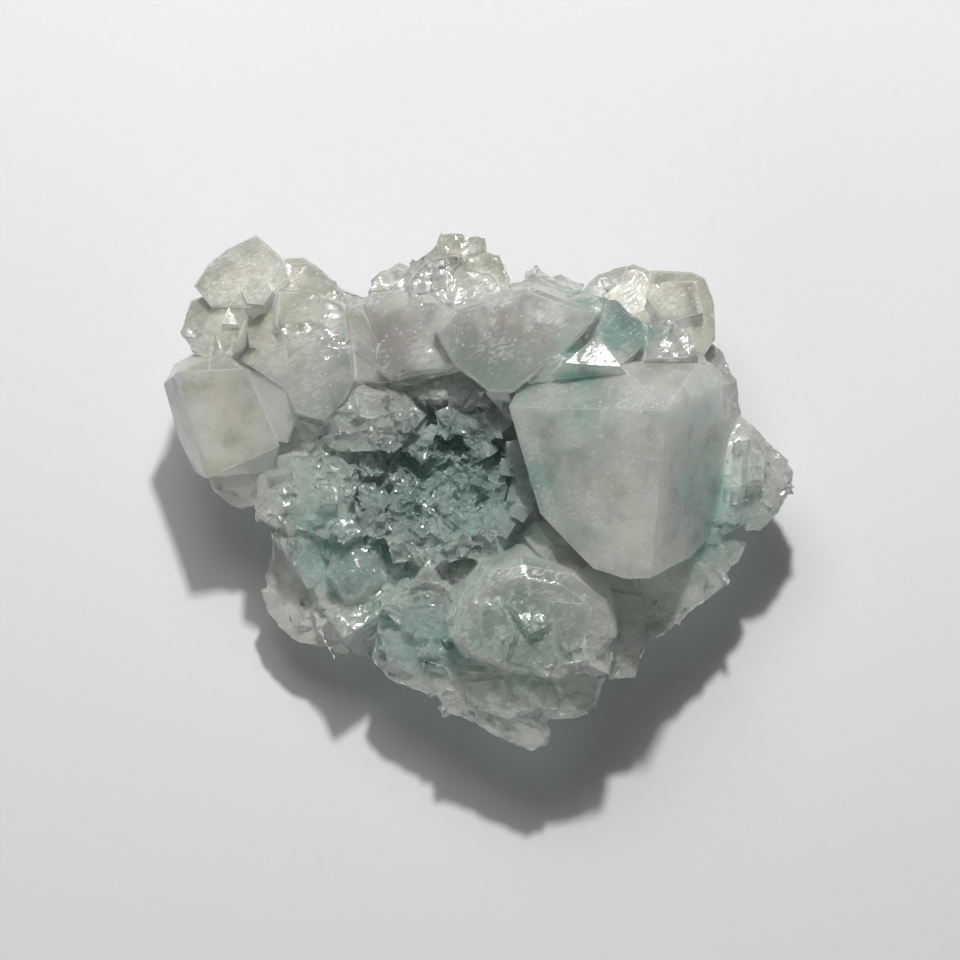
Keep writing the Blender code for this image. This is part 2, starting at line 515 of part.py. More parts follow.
def outer_skin(body):
    """Return the joined cluster as one object, without the closed gaps left inside it."""
    bpy.context.view_layer.update()
    ready = body.evaluated_get(bpy.context.evaluated_depsgraph_get())
    mesh = bpy.data.meshes.new_from_object(ready)
    mesh.name = "fluorite_cluster"
    bm = bmesh.new()
    bm.from_mesh(mesh)
    parts = separate_parts(bm)
    largest = max(parts, key=len)
    spare = [vert for part in parts if part is not largest for vert in part]
    bmesh.ops.delete(bm, geom=spare, context="VERTS")
    bmesh.ops.remove_doubles(bm, verts=bm.verts, dist=SLIVER * MM)
    bm.to_mesh(mesh)
    bm.free()
    item = bpy.data.objects.new("fluorite_cluster", mesh)
    bpy.context.scene.collection.objects.link(item)
    return item


def separate_parts(bm):
    """Return the vertices of each connected part of a mesh."""
    parts = []
    seen = set()
    for vert in bm.verts:
        if vert in seen:
            continue
        seen.add(vert)
        part = [vert]
        for member in part:
            for edge in member.link_edges:
                other = edge.other_vert(member)
                if other not in seen:
                    seen.add(other)
                    part.append(other)
        parts.append(part)
    return parts


def fluorite():
    """Return the material: clear fluorite, pale green."""
    material = bpy.data.materials.new("fluorite")
    material.use_nodes = True
    shader = material.node_tree.nodes["Principled BSDF"]
    shader.inputs["Base Color"].default_value = PALE_GREEN
    shader.inputs["Roughness"].default_value = ROUGHNESS
    shader.inputs["IOR"].default_value = FLUORITE_IOR
    shader.inputs["Transmission Weight"].default_value = CLEARNESS
    return material


main()
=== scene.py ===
"""Fluorite specimen: the look of the cluster, its floor, its light and its camera."""

import math

import bmesh
import bpy
import numpy as np
from mathutils import Matrix, Vector, noise
from mathutils.bvhtree import BVHTree

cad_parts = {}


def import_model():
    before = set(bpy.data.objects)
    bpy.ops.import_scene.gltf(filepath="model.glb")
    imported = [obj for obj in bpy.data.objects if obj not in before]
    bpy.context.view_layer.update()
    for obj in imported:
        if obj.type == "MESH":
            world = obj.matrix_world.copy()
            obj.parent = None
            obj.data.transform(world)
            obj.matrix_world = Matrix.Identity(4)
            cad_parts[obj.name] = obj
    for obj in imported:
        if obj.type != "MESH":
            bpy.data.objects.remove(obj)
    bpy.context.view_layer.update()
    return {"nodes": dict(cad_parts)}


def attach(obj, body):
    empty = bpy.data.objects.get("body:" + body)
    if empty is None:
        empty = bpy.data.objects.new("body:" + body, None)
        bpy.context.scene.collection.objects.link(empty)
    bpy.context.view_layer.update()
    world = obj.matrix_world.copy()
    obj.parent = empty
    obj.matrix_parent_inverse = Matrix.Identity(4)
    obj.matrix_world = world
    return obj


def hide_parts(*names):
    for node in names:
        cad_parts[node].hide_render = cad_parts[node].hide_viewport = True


MM = 0.001

# The small crystals on the skin, in millimetres.
SEED = 582
SMALL_COUNT = 600
SMALL_SIZE = (0.7, 2.1)
SMALL_SKEW = 1.5
SMALL_STRETCH = (0.6, 1.3)
SMALL_SINK = 0.34
SMALL_JITTER = 0.22
SMALL_BROKEN = 0.7
SMALL_LOWEST = 10.0
SMALL_STEEPEST = 0.45
HOLLOW = Vector((-5.0, 0.0, 16.0))
HOLLOW_REACH = 15.0
GROWTH_OUTSIDE = 0.25
GROWTH_IN_HOLLOW = 4.0

# The skin between them, in millimetres: finer above, coarser on the sides and below.
SAME_POINT = 0.001
CLOSE = 0.01
LONGEST_EDGE = 0.82
LONGEST_EDGE_BELOW = 1.6
FINE_ABOVE = 8.0
SPLIT_ROUNDS = 8
SHARP_ANGLE = 13.0
SWELL_CELL = 4.5
SWELL_RISE = 0.30
SWELL_MIDDLE = 0.5
SWELL_SMOOTH = 0.25
RIDGE_CELL = 2.1
RIDGE_RISE = 0.13
MOSAIC_CELL = 2.3
MOSAIC_DEPTH = 0.275
MOSAIC_GROOVE = 0.30
BASE_KEEP = 0.6

# Smooth crystals, which keep clean faces: middle and reach, in millimetres.
SMOOTH_CRYSTALS = (
    (Vector((17.0, 1.0, 26.0)), 16.0),
    (Vector((3.5, 18.8, 26.0)), 9.5),
    (Vector((-32.0, 9.0, 19.0)), 9.0),
    (Vector((-22.0, 14.0, 24.0)), 6.0),
    (Vector((24.0, 24.0, 17.0)), 6.5),
    (Vector((-28.0, 26.0, 18.0)), 8.5),
    (Vector((-21.0, 22.0, 18.0)), 5.0),
    (Vector((-13.0, 20.0, 20.0)), 6.0),
)
ROUGHENING = 4.0

# The stone's colours.
GREY = (0.87, 0.89, 0.83)
WARM = (0.96, 0.93, 0.80)
PINK = (0.96, 0.91, 0.84)
PALE_GREEN = (0.70, 0.84, 0.77)
TEAL = (0.46, 0.66, 0.60)
# The white of the veils, also used for the painted rim highlights, glints and silk sheen.
VEIL_AND_HIGHLIGHT_WHITE = (0.94, 0.95, 0.92, 1.0)
DEPTH = (0.27, 0.37, 0.33, 1.0)
HAZE = (0.80, 0.93, 0.88, 1.0)

# Where the stone has each colour: middle, reach and softness in millimetres.
WARM_BLOBS = (
    ((-31.0, 9.0, 18.0), 11.0, 6.0),
    ((-27.0, 25.0, 20.0), 11.0, 6.0),
    ((-26.0, -2.0, 16.0), 5.0, 3.0),
    ((-22.0, -16.0, 8.0), 7.0, 3.0),
    ((24.0, 24.0, 16.0), 9.0, 4.0),
    ((-2.0, 30.0, 14.0), 7.0, 4.0),
    ((-12.0, 27.0, 10.0), 4.0, 2.0),
)
PINK_BLOBS = (
    ((16.5, -1.0, 30.0), 8.0, 5.0),
    ((18.0, -8.0, 24.0), 6.0, 4.0),
    ((3.0, 20.5, 27.0), 5.0, 3.0),
    ((22.0, 14.0, 26.0), 5.0, 3.0),
    ((-11.0, 20.0, 20.0), 5.0, 4.0),
    ((12.0, -12.0, 18.0), 4.0, 3.0),
)
PALE_GREEN_BLOBS = (
    ((8.0, -4.0, 28.0), 6.0, 5.0),
    ((12.0, 9.0, 32.0), 5.0, 4.0),
    ((27.0, 3.0, 24.0), 7.0, 4.0),
    ((27.0, 10.0, 26.0), 4.0, 3.0),
    ((1.0, 14.0, 27.0), 5.0, 4.0),
    ((-18.0, 2.0, 18.0), 9.0, 5.0),
    ((6.0, -19.0, 15.0), 8.0, 5.0),
    ((5.0, -16.0, 20.0), 8.0, 4.0),
)
TEAL_BLOBS = (
    ((-3.0, 1.0, 14.0), 11.0, 7.0),
    ((5.0, 3.0, 22.0), 6.5, 4.5),
    ((27.5, -3.0, 16.0), 6.0, 4.0),
    ((18.0, 20.0, 24.0), 4.5, 2.5),
    ((12.0, 15.5, 25.0), 4.0, 2.5),
    ((-8.0, -15.0, 13.0), 7.0, 5.0),
    ((-17.0, -8.0, 15.0), 6.0, 4.0),
    ((12.0, 24.5, 23.0), 3.0, 2.0),
)
# Each colour lies over the ones before it.
COATS = (
    (WARM_BLOBS, WARM),
    (PINK_BLOBS, PINK),
    (PALE_GREEN_BLOBS, PALE_GREEN),
    (TEAL_BLOBS, TEAL),
)
# Painted shade and light: where the stone is made darker on tops that face the light and in a
# recess, or paler where it lies in shade: middle, reach, softness and share kept.
PAINTED_SHADE_AND_LIGHT_BLOBS = (
    ((3.0, 20.0, 27.0), 8.0, 3.0, 0.72),
    ((-13.0, 20.0, 20.0), 6.0, 4.0, 0.72),
    ((17.0, 1.0, 27.0), 14.0, 4.0, 0.90),
    ((15.0, 13.0, 33.0), 4.0, 3.0, 0.78),
    ((7.0, -16.0, 18.0), 8.0, 4.0, 0.68),
    ((-29.0, 25.0, 20.0), 9.0, 4.0, 0.83),
    ((-26.5, 18.5, 18.0), 2.5, 1.5, 0.62),
    ((-5.0, 28.0, 16.0), 6.0, 3.0, 0.84),
    ((25.0, 25.0, 16.0), 7.0, 3.0, 0.87),
    ((-22.0, -13.0, 10.0), 6.0, 3.0, 1.28),
    ((-5.0, 0.0, 14.0), 9.0, 4.0, 1.06),
    ((4.0, -27.0, 9.0), 6.0, 3.0, 1.10),
)
# Where fine white needles show in the stone, seen from above, painted paler where they show a sheen
# of reflected light: middle, reach, softness, share.
SILK_AND_SHEEN_COLUMNS = (
    ((-36.2, 13.5), 1.5, 0.8, 1.0),
    ((-35.4, 10.5), 1.6, 0.8, 1.0),
    ((-34.5, 7.5), 1.5, 0.8, 0.9),
    ((-33.6, 5.0), 1.2, 0.8, 0.8),
    ((27.0, 4.0), 7.0, 3.0, 0.30),
    ((-22.0, 17.0), 3.0, 2.0, 0.5),
)
# The blobs drift about by a vector noise, which starts from the clock unless it is given a number.
DRIFT_CELL = 7.0
DRIFT_REACH = 3.0
DRIFT_SEED = 1795861396
SILK_DRIFT = 0.8

# A small step of tone from facet to facet, and painted shade: a darker tone where a facet faces the
# lamp.
FACET_SPREAD = 0.14
FACET_STEPS = 4.0
FACET_TURN = 5.37
FACET_CELL = 9.0
LAMP_SHADE = 0.62
LAMP_SHADE_FROM = 0.45
DEEPEN = 0.90

# Painted light: the stone's colour made paler in its own crevices, standing in for the light that
# clear stone brings into them, in millimetres where a length.
CREVICE_PAINTED_LIGHT = 0.80
CREVICE_REACH = 6.0
CREVICE_ABOVE = 6.0
CREVICE_RAYS = 8
CREVICE_START = 0.05
LOWEST_RAY = 0.25
UNDERSIDE = -0.2

# The pale lines on sharp outer edges: partly the stone's whitish edges, partly a painted highlight
# for the bright rim that light makes in thin edges.
EDGE_ANGLE = 24.0
EDGE_LOST_IN_ROUGH = 0.8

# The patterns in the stone: scales are in cells per metre.
CLOUD_SCALE = 260.0
CLOUD_DETAIL = 4.0
CLOUD_ROUGHNESS = 0.62
CLOUD_WARP = 0.25
STREAK_SCALE = 1100.0
STREAK_DETAIL = 2.0
STREAK_ROUGHNESS = 0.6
STREAK_STRETCH = (1.0, 0.35, 1.0)
STREAK_TURN = 0.5
# White specks are painted glints, standing in for tiny sparkles.
SPARKLE_SPECK_SCALE = 900.0
FACET_SCALE = 480.0
CLOUD_SHARE = 0.6
STREAK_SHARE = 0.4
SILK_AND_SHEEN_GAIN = 0.13
# Each range is where a pattern starts to show, where it shows fully, and how much it shows then.
VEIL_RANGE = (0.50, 0.64, 0.0, 0.50)
EDGE_AND_RIM_HIGHLIGHT_RANGE = (0.70, 0.98, 0.0, 0.80)
SPARKLE_SPECK_RANGE = (0.17, 0.10, 0.0, 0.80)
DEPTH_RANGE = (0.50, 0.30, 0.0, 0.36)
ROUGHNESS_RANGE = (0.3, 0.7, 0.07, 0.24)
LEAN_RANGE = (0.0, 1.0, 0.03, 0.32)

# Values on the stone's shader and its volume.
STONE = {
    "Transmission Weight": 0.55,
    "IOR": 1.434,
    "Sheen Weight": 0.25,
    "Sheen Roughness": 0.3,
    "Subsurface Weight": 0.6,
    "Subsurface Radius": (1.0, 1.0, 1.0),
    "Subsurface Scale": 0.009,
}
BUMP_STRENGTH = 0.22
BUMP_HEIGHT = 0.00025
HAZE_DENSITY = 30.0

# The sheet of paper: half its width in metres, its two tones and its grain.
PAPER_HALF = 0.6
PAPER_TONES = ((0.625, 0.643, 0.652, 1.0), (0.66, 0.68, 0.69, 1.0))
PAPER_SCALE = 700.0
PAPER_DETAIL = 4.0
PAPER_ROUGHNESS = 0.7
PAPER = {"Roughness": 0.9, "Specular IOR Level": 0.2}

# Light, in metres and watts: a small lamp, a soft box beside it, and a low card across from them.
LAMP_PLACE = Vector((0.022, 0.312, 0.425))
SOFT_PLACE = Vector((-0.060, 0.315, 0.415))
CARD_PLACE = Vector((-0.170, -0.370, 0.110))
LIGHTS = (
    ("lamp", LAMP_PLACE, 0.032, 2.50),
    ("soft_box", SOFT_PLACE, 0.28, 1.08),
    ("card", CARD_PLACE, 0.28, 0.40),
)
LIGHT_COLOUR = (1.0, 0.99, 0.97)
FILL_COLOUR = (0.96, 0.98, 1.0, 1.0)
FILL = 0.066

# Camera: straight above, as in the photograph. Lengths in metres, the sensor in millimetres.
VIEW_WIDTH = 0.120
VIEW_HEIGHT = 0.015
CAMERA_HEIGHT = 0.90
CAMERA_NEAR = 0.01
SENSOR = 36.0
AIM = (0.0, 0.0016)

BOUNCES = 7
SHORT_BOUNCES = 2
CLAMP = 3.0
NOISE_ALLOWED = 0.1


def main():
    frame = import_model()
    node = frame["nodes"]["fluorite_cluster"]
    piece = add_piece(node)
    piece.data.materials.clear()
    piece.data.materials.append(fluorite())
    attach(piece, "root")
    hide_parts("fluorite_cluster")
    add_floor()
    add_light()
    add_camera()
    set_render()


def add_piece(node):
    """Return the visual piece: the CAD cluster with small crystals grown on it, in one skin."""
    mesh = node.data.copy()
    weld(mesh)
    base = link("base", mesh)
    small = link("small", small_crystals(mesh))
    join = base.modifiers.new("join", "BOOLEAN")
    join.operation = "UNION"
    join.use_self = True
    join.object = small
    bpy.context.view_layer.update()
    graph = bpy.context.evaluated_depsgraph_get()
    skin = bpy.data.meshes.new_from_object(base.evaluated_get(graph))
    skin.name = "cluster"
    bpy.data.objects.remove(base)
    bpy.data.objects.remove(small)
    weather(skin)
    tint(skin)
    skin.shade_smooth()
    skin.set_sharp_from_angle(angle=math.radians(SHARP_ANGLE))
    return link("cluster", skin)


def link(name, data):
    """Return a new object of this mesh, light or camera, in the scene."""
    thing = bpy.data.objects.new(name, data)
    bpy.context.scene.collection.objects.link(thing)
    return thing


def weld(mesh):
    """Join the points that lie together, so that the mesh is closed."""
    bm = bmesh.new()
    bm.from_mesh(mesh)
    bmesh.ops.remove_doubles(bm, verts=bm.verts, dist=SAME_POINT * MM)
    bm.to_mesh(mesh)
    bm.free()


def small_crystals(mesh):
    """Return a mesh of small broken crystals, sunk in the skin where it is rough."""
    rng = np.random.default_rng(SEED)
    mesh.calc_loop_triangles()
    triangles = mesh.loop_triangles
    weights = np.array([thickness_of_growth(tri) * tri.area for tri in triangles])
    picks = rng.choice(len(triangles), size=SMALL_COUNT, p=weights / weights.sum())
    smallest, largest = SMALL_SIZE
    bm = bmesh.new()
    for pick in picks:
        triangle = triangles[int(pick)]
        a, b, c = [mesh.vertices[i].co for i in triangle.vertices]
        u, v = rng.random(2)
        u, v = (1.0 - u, 1.0 - v) if u + v > 1.0 else (u, v)
        place = a + (b - a) * u + (c - a) * v
        size = MM * smallest * (largest / smallest) ** (rng.random() ** SMALL_SKEW)
        turn = Matrix.Rotation(rng.random() * math.tau, 3, Vector(rng.normal(size=3)).normalized())
        stretch = rng.uniform(*SMALL_STRETCH, 3)
        jitter = rng.uniform(-SMALL_JITTER, SMALL_JITTER, (8, 3)) * (rng.random() < SMALL_BROKEN)
        middle = place - triangle.normal * size * SMALL_SINK
        points = []
        for number in range(8):
            corner = np.array([(number >> k & 1) - 0.5 for k in range(3)])
            offset = turn @ Vector((corner + jitter[number]) * stretch) * size
            points.append(bm.verts.new(middle + offset))
        bmesh.ops.convex_hull(bm, input=points)
    small = bpy.data.meshes.new("small")
    bm.to_mesh(small)
    bm.free()
    return small


def thickness_of_growth(triangle):
    """Return how thickly small crystals grow on a triangle: most in the hollow, none at the rim."""
    place = Vector(triangle.center) / MM
    if place.z < SMALL_LOWEST or triangle.normal.z < SMALL_STEEPEST:
        return 0.0
    hollow = max(0.0, 1.0 - (place - HOLLOW).length / HOLLOW_REACH)
    return roughness(place) * (GROWTH_OUTSIDE + GROWTH_IN_HOLLOW * hollow)


def roughness(place):
    """Return 0 in a smooth crystal and 1 well away from all of them."""
    away = min((place - middle).length / reach * ROUGHENING - ROUGHENING
               for middle, reach in SMOOTH_CRYSTALS)
    return min(1.0, max(0.0, away))


def weather(mesh):
    """Clean the joined mesh, split its long edges, and move its points in low ripples and chips."""
    bm = bmesh.new()
    bm.from_mesh(mesh)
    bmesh.ops.remove_doubles(bm, verts=bm.verts, dist=CLOSE * MM)
    bmesh.ops.dissolve_degenerate(bm, edges=bm.edges, dist=CLOSE * MM)
    bmesh.ops.triangulate(bm, faces=bm.faces)
    drop_stacks(bm)
    drop_islands(bm)
    for _ in range(SPLIT_ROUNDS):
        long = [edge for edge in bm.edges if edge.calc_length() > longest(edge)]
        if not long:
            break
        bmesh.ops.subdivide_edges(bm, edges=long, cuts=1)
        triangulate(bm)
        drop_stacks(bm)
    bmesh.ops.remove_doubles(bm, verts=bm.verts, dist=CLOSE * MM)
    drop_stacks(bm)
    bmesh.ops.holes_fill(bm, edges=[edge for edge in bm.edges if edge.is_boundary], sides=0)
    triangulate(bm)
    drop_islands(bm)
    bmesh.ops.delete(bm, geom=[edge for edge in bm.edges if edge.is_wire], context="EDGES")
    bm.normal_update()
    rises = [relief(vert.co / MM) for vert in bm.verts]
    for vert, rise in zip(bm.verts, rises):
        vert.co += vert.normal * rise * MM
    bm.to_mesh(mesh)
    bm.free()


def triangulate(bm):
    """Split the faces that have more than three corners."""
    bmesh.ops.triangulate(bm, faces=[face for face in bm.faces if len(face.verts) > 3])


def drop_stacks(bm):
    """Keep one of the faces that lie on each other, and none of a pair back to back."""
    bm.normal_update()
    stacks = {}
    for face in bm.faces:
        stacks.setdefault(frozenset(face.verts), []).append(face)
    extra = []
    for stack in stacks.values():
        if len(stack) > 1:
            up = [face for face in stack if face.normal.dot(stack[0].normal) > 0.0]
            down = [face for face in stack if face not in up]
            keep = [] if len(up) == len(down) else [max(up, down, key=len)[0]]
            extra += [face for face in stack if face not in keep]
    bmesh.ops.delete(bm, geom=extra, context="FACES")


def drop_islands(bm):
    """Delete every shell but the largest."""
    seen = set()
    shells = []
    for start in bm.verts:
        if start in seen:
            continue
        seen.add(start)
        shell = [start]
        for point in shell:
            for edge in point.link_edges:
                other = edge.other_vert(point)
                if other not in seen:
                    seen.add(other)
                    shell.append(other)
        shells.append(shell)
    shells.sort(key=len)
    bmesh.ops.delete(bm, geom=[vert for shell in shells[:-1] for vert in shell], context="VERTS")


def longest(edge):
    """Return how long an edge may be: short where the skin is seen best."""
    if min(edge.verts[0].co.z, edge.verts[1].co.z) > FINE_ABOVE * MM:
        return LONGEST_EDGE * MM
    return LONGEST_EDGE_BELOW * MM


def relief(place):
    """Return how far the skin rises at a place, in millimetres: nothing on the flat base."""
    if place.z < BASE_KEEP:
        return 0.0
    rough = roughness(place)
    swell = (noise.noise(place / SWELL_CELL) - SWELL_MIDDLE) * SWELL_RISE
    swell *= SWELL_SMOOTH + (1.0 - SWELL_SMOOTH) * rough
    ridge = 1.0 - 2.0 * abs(noise.noise(place / RIDGE_CELL))
    nearest = noise.voronoi(place / MOSAIC_CELL)[0]
    groove = min(nearest[1] - nearest[0], MOSAIC_GROOVE) / MOSAIC_GROOVE - 1.0
    return swell + rough * (ridge * RIDGE_RISE + groove * MOSAIC_DEPTH - RIDGE_RISE)


def tint(mesh):
    """Write the stone's broad colours on the mesh, with painted shade and light in them, and where
    it is rough, silky or has an edge.
    """
    noise.seed_set(DRIFT_SEED)
    places = np.array([vert.co for vert in mesh.vertices]) / MM
    drift = np.array([noise.noise_vector(vert.co / MM / DRIFT_CELL) for vert in mesh.vertices])
    rough = np.array([roughness(vert.co / MM) for vert in mesh.vertices])
    colours = broad_colours(places + drift * DRIFT_REACH)
    # Painted light: colours made paler where the stone hides the sky, in its crevices.
    colours *= DEEPEN * (1.0 + CREVICE_PAINTED_LIGHT * crevices(mesh)[:, None])
    corner_points = np.empty(len(mesh.loops), dtype=np.int64)
    mesh.loops.foreach_get("vertex_index", corner_points)
    values = np.ones((len(mesh.loops), 4))
    # The facet tones hold painted shade on facets that face the lamp.
    values[:, :3] = np.clip(colours[corner_points] * facet_tones_and_lamp_shade(mesh)[:, None], 0.0, 1.0)
    layer = mesh.color_attributes.new("tint", "FLOAT_COLOR", "CORNER")
    layer.data.foreach_set("color", values.ravel())
    write(mesh, "rough", rough)
    write(mesh, "silk_and_sheen", silk_and_sheen((places + drift * SILK_DRIFT)[:, :2]))
    # Sharp edges, drawn pale: partly real whitish edges, partly a painted rim highlight.
    write(mesh, "edge", edges(mesh) * (1.0 - EDGE_LOST_IN_ROUGH * rough))


def write(mesh, name, values):
    """Write one number for each point of the mesh."""
    mesh.attributes.new(name, "FLOAT", "POINT").data.foreach_set("value", values)


def ramp(places, middle, reach, soft):
    """Return for each place 1 near the middle and 0 away from it, with a straight ramp between."""
    distance = np.linalg.norm(places - np.array(middle), axis=1)
    return np.clip((reach + soft - distance) / (2.0 * soft), 0.0, 1.0)


def smooth_ramp(places, middle, reach, soft):
    """Return the same with a ramp that starts and ends gently."""
    step = ramp(places, middle, reach, soft)
    return step * step * (3.0 - 2.0 * step)


def broad_colours(places):
    """Return the colour of the stone at each place, with painted shade on lit tops and in a recess,
    and painted light in shaded parts.
    """
    colours = np.tile(np.array(GREY), (len(places), 1))
    for blobs, colour in COATS:
        share = np.zeros(len(places))
        for middle, reach, soft in blobs:
            share = np.maximum(share, smooth_ramp(places, middle, reach, soft))
        colours += (np.array(colour) - colours) * share[:, None]
    # Painted shade and light: darker on lit tops and in a recess, paler in shaded parts.
    for middle, reach, soft, kept in PAINTED_SHADE_AND_LIGHT_BLOBS:
        colours *= (1.0 - (1.0 - kept) * smooth_ramp(places, middle, reach, soft))[:, None]
    return colours


def facet_tones_and_lamp_shade(mesh):
    """Return for each face corner a tone that steps from facet to facet, with painted shade where a
    facet faces the lamp.
    """
    tones = np.empty(len(mesh.loops))
    to_lamp = LAMP_PLACE.normalized()
    for face in mesh.polygons:
        heading = Vector([round(part * FACET_STEPS) for part in face.normal])
        tone = noise.noise(heading * FACET_TURN + Vector(face.center) / MM / FACET_CELL)
        # Painted shade: facets that face the lamp are made darker.
        facing = max(0.0, face.normal.dot(to_lamp) - LAMP_SHADE_FROM)
        for corner in face.loop_indices:
            tones[corner] = (1.0 + tone * FACET_SPREAD) * (1.0 - LAMP_SHADE * facing)
    return tones


def crevices(mesh):
    """Return for each point how much of the sky the stone itself hides: 0 none, 1 all."""
    tree = BVHTree.FromPolygons([v.co for v in mesh.vertices], [p.vertices for p in mesh.polygons])
    rays = sky_rays()
    hidden = np.zeros(len(mesh.vertices))
    for vert in mesh.vertices:
        if vert.co.z < CREVICE_ABOVE * MM or vert.normal.z < UNDERSIDE:
            continue
        start = vert.co + vert.normal * CREVICE_START * MM
        hits = sum(tree.ray_cast(start, ray, CREVICE_REACH * MM)[0] is not None for ray in rays)
        hidden[vert.index] = hits / CREVICE_RAYS
    return hidden


def sky_rays():
    """Return directions spread evenly over the upper part of the sky."""
    golden = math.pi * (3.0 - math.sqrt(5.0))
    rays = []
    for number in range(CREVICE_RAYS):
        height = LOWEST_RAY + (1.0 - LOWEST_RAY) * (number + 0.5) / CREVICE_RAYS
        flat = math.sqrt(1.0 - height * height)
        turn = golden * number
        rays.append(Vector((math.cos(turn) * flat, math.sin(turn) * flat, height)))
    return rays


def silk_and_sheen(places):
    """Return how much fine white silk shows at each place, seen from above, with its sheen painted
    in as paler colour.
    """
    share = np.zeros(len(places))
    for middle, reach, soft, most in SILK_AND_SHEEN_COLUMNS:
        share = np.maximum(share, most * ramp(places, middle, reach, soft))
    return share


def edges(mesh):
    """Return 1 for the points on a sharp outer edge, else 0."""
    bm = bmesh.new()
    bm.from_mesh(mesh)
    on_edge = np.zeros(len(mesh.vertices))
    for edge in bm.edges:
        if edge.is_manifold and edge.calc_face_angle_signed() > math.radians(EDGE_ANGLE):
            for vert in edge.verts:
                on_edge[vert.index] = 1.0
    bm.free()
    return on_edge


class Tree:
    """Short ways to add shader nodes to a new material."""

    def __init__(self, name):
        self.material = bpy.data.materials.new(name)
        self.material.use_nodes = True
        self.nodes = self.material.node_tree.nodes
        self.links = self.material.node_tree.links
        self.shader = self.nodes["Principled BSDF"]

    def add(self, kind, **values):
        node = self.nodes.new(kind)
        for name, value in values.items():
            setattr(node, name, value)
        return node

    def set(self, node, name, value):
        if isinstance(value, bpy.types.NodeSocket):
            self.links.new(value, node.inputs[name])
        else:
            node.inputs[name].default_value = value

    def place(self):
        return self.add("ShaderNodeTexCoord").outputs["Object"]

    def number(self, name):
        """Return the number that the mesh holds under this name."""
        return self.add("ShaderNodeAttribute", attribute_name=name).outputs["Fac"]

    def math(self, operation, a, b):
        node = self.add("ShaderNodeMath", operation=operation)
        self.set(node, 0, a)
        self.set(node, 1, b)
        return node.outputs[0]

    def vector(self, operation, a, b=None):
        node = self.add("ShaderNodeVectorMath", operation=operation)
        self.set(node, 0, a)
        if b is not None:
            self.set(node, "Scale" if operation == "SCALE" else 1, b)
        return node.outputs[0]

    def mix(self, share, a, b):
        node = self.add("ShaderNodeMix", data_type="RGBA")
        self.set(node, 0, share)
        self.set(node, 6, a)
        self.set(node, 7, b)
        return node.outputs[2]

    def noise(self, place, scale, detail, rough, warp=0.0):
        node = self.add("ShaderNodeTexNoise")
        self.set(node, "Vector", place)
        self.set(node, "Scale", scale)
        self.set(node, "Detail", detail)
        self.set(node, "Roughness", rough)
        self.set(node, "Distortion", warp)
        return node.outputs["Fac"]

    def remap(self, value, low, high, to_low, to_high):
        node = self.add("ShaderNodeMapRange", interpolation_type="SMOOTHSTEP")
        for name, item in (("Value", value), ("From Min", low), ("From Max", high),
                           ("To Min", to_low), ("To Max", to_high)):
            self.set(node, name, item)
        return node.outputs[0]

    def stretched(self, place, scale, turn):
        """Return the place turned about Z and stretched."""
        node = self.add("ShaderNodeMapping", vector_type="TEXTURE")
        self.set(node, "Vector", place)
        self.set(node, "Rotation", (0.0, 0.0, turn))
        self.set(node, "Scale", scale)
        return node.outputs[0]

    def cells(self, place, scale, output):
        node = self.add("ShaderNodeTexVoronoi", feature="F1")
        self.set(node, "Vector", place)
        self.set(node, "Scale", scale)
        return node.outputs[output]


def fluorite():
    """Return the stone: frosted and clear, with veils, darker depths and white specks painted as
    tiny glints.
    """
    t = Tree("stone")
    place = t.place()
    clouds = t.noise(place, CLOUD_SCALE, CLOUD_DETAIL, CLOUD_ROUGHNESS, CLOUD_WARP)
    along = t.stretched(place, STREAK_STRETCH, STREAK_TURN)
    streaks = t.noise(along, STREAK_SCALE, STREAK_DETAIL, STREAK_ROUGHNESS)
    t.set(t.shader, "Base Color", stone_colour(t, place, clouds, streaks))
    t.set(t.shader, "Roughness", t.remap(streaks, *ROUGHNESS_RANGE))
    t.set(t.shader, "Normal", stone_normal(t, place, streaks))
    for name, value in STONE.items():
        t.set(t.shader, name, value)
    haze = t.add("ShaderNodeVolumeAbsorption")
    t.set(haze, "Color", HAZE)
    t.set(haze, "Density", HAZE_DENSITY)
    t.set(t.nodes["Material Output"], "Volume", haze.outputs[0])
    return t.material


def stone_colour(t, place, clouds, streaks):
    """Return the colour from the mesh with darker depths, then pale veils, edges that are partly a
    painted rim highlight, and specks that are painted glints.
    """
    colour = t.add("ShaderNodeVertexColor", layer_name="tint").outputs["Color"]
    pattern = t.math("ADD", t.math("MULTIPLY", clouds, CLOUD_SHARE),
                     t.math("MULTIPLY", streaks, STREAK_SHARE))
    # Silk: white needles, and the sheen they show painted paler.
    pattern = t.math("ADD", pattern, t.math("MULTIPLY", t.number("silk_and_sheen"), SILK_AND_SHEEN_GAIN))
    veils_and_painted_highlights = t.remap(pattern, *VEIL_RANGE)
    # Pale sharp edges: partly the stone's whitish edges, partly a painted rim highlight.
    veils_and_painted_highlights = t.math("MAXIMUM", veils_and_painted_highlights, t.remap(t.number("edge"), *EDGE_AND_RIM_HIGHLIGHT_RANGE))
    # Painted glints: white specks in place of tiny sparkles.
    painted_sparkles = t.remap(t.cells(place, SPARKLE_SPECK_SCALE, "Distance"), *SPARKLE_SPECK_RANGE)
    veils_and_painted_highlights = t.math("MAXIMUM", veils_and_painted_highlights, painted_sparkles)
    colour = t.mix(t.remap(clouds, *DEPTH_RANGE), colour, DEPTH)
    return t.mix(veils_and_painted_highlights, colour, VEIL_AND_HIGHLIGHT_WHITE)


def stone_normal(t, place, streaks):
    """Return the normal with fine streaks, leaning from chip to chip where the stone is rough."""
    bump = t.add("ShaderNodeBump")
    t.set(bump, "Height", streaks)
    t.set(bump, "Strength", BUMP_STRENGTH)
    t.set(bump, "Distance", BUMP_HEIGHT)
    tilt = t.vector("SUBTRACT", t.cells(place, FACET_SCALE, "Color"), (0.5, 0.5, 0.5))
    lean = t.vector("SCALE", tilt, t.remap(t.number("rough"), *LEAN_RANGE))
    return t.vector("NORMALIZE", t.vector("ADD", bump.outputs[0], lean))


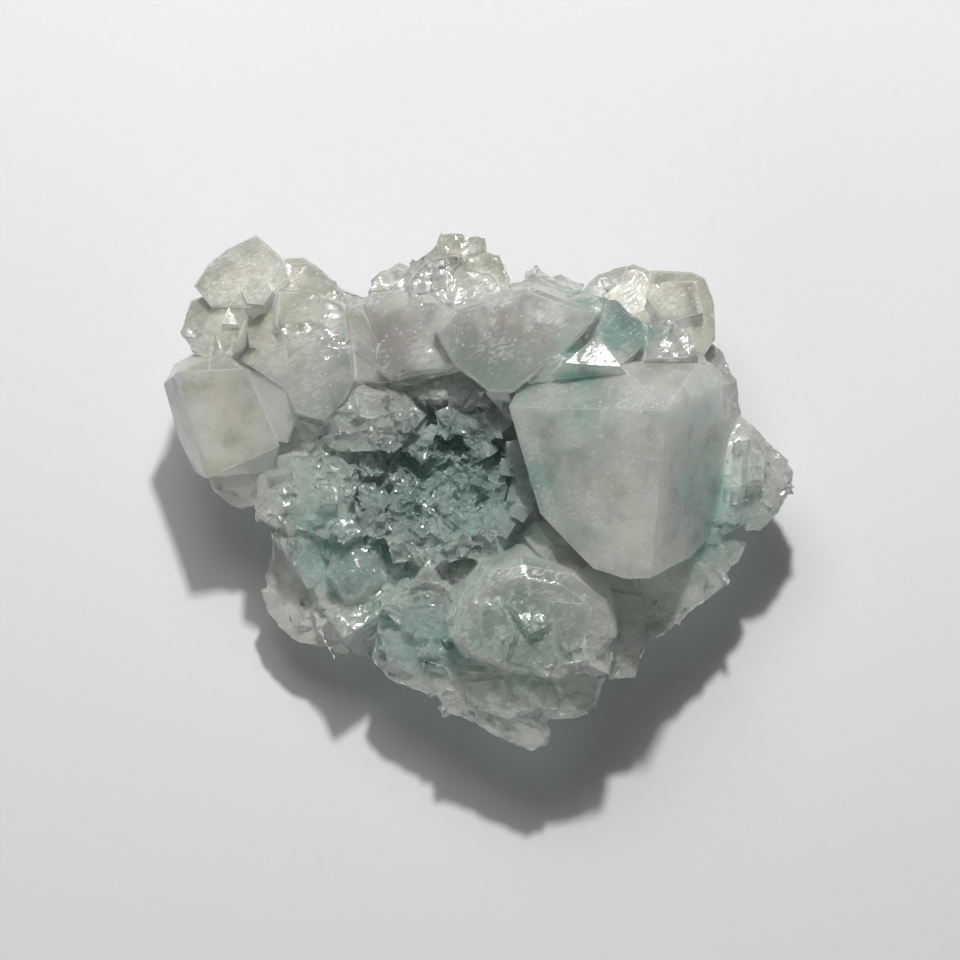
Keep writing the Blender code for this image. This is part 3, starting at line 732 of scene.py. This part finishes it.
def add_floor():
    """Add the sheet of white paper that the cluster lies on."""
    mesh = bpy.data.meshes.new("paper")
    corners = [(-1, -1), (1, -1), (1, 1), (-1, 1)]
    mesh.from_pydata([(x * PAPER_HALF, y * PAPER_HALF, 0) for x, y in corners], [], [(0, 1, 2, 3)])
    t = Tree("paper")
    grain = t.noise(t.place(), PAPER_SCALE, PAPER_DETAIL, PAPER_ROUGHNESS)
    t.set(t.shader, "Base Color", t.mix(grain, *PAPER_TONES))
    for name, value in PAPER.items():
        t.set(t.shader, name, value)
    mesh.materials.append(t.material)
    link("paper", mesh)


def add_light():
    """Add the lamps, which all point at the cluster, and an even fill."""
    for name, place, size, energy in LIGHTS:
        disk = bpy.data.lights.new(name, "AREA")
        disk.shape = "DISK"
        disk.size = size
        disk.energy = energy
        disk.color = LIGHT_COLOUR
        holder = link(name, disk)
        holder.location = place
        holder.rotation_euler = place.to_track_quat("Z", "Y").to_euler()
    world = bpy.data.worlds.new("fill")
    world.use_nodes = True
    background = world.node_tree.nodes["Background"]
    background.inputs["Color"].default_value = FILL_COLOUR
    background.inputs["Strength"].default_value = FILL
    bpy.context.scene.world = world


def add_camera():
    """Add the camera, straight above the cluster."""
    camera = bpy.data.cameras.new("camera")
    camera.sensor_width = SENSOR
    camera.lens = SENSOR * (CAMERA_HEIGHT - VIEW_HEIGHT) / VIEW_WIDTH
    camera.clip_start = CAMERA_NEAR
    holder = link("camera", camera)
    holder.location = (AIM[0], AIM[1], CAMERA_HEIGHT)
    bpy.context.scene.camera = holder


def set_render():
    """Set the colours and the light paths that clear stone needs."""
    scene = bpy.context.scene
    scene.view_settings.view_transform = "Standard"
    scene.cycles.use_denoising = True
    scene.cycles.denoiser = "OPENIMAGEDENOISE"
    scene.cycles.max_bounces = BOUNCES
    scene.cycles.transmission_bounces = BOUNCES
    scene.cycles.diffuse_bounces = SHORT_BOUNCES
    scene.cycles.glossy_bounces = SHORT_BOUNCES
    scene.cycles.sample_clamp_indirect = CLAMP
    scene.cycles.adaptive_threshold = NOISE_ALLOWED


main()
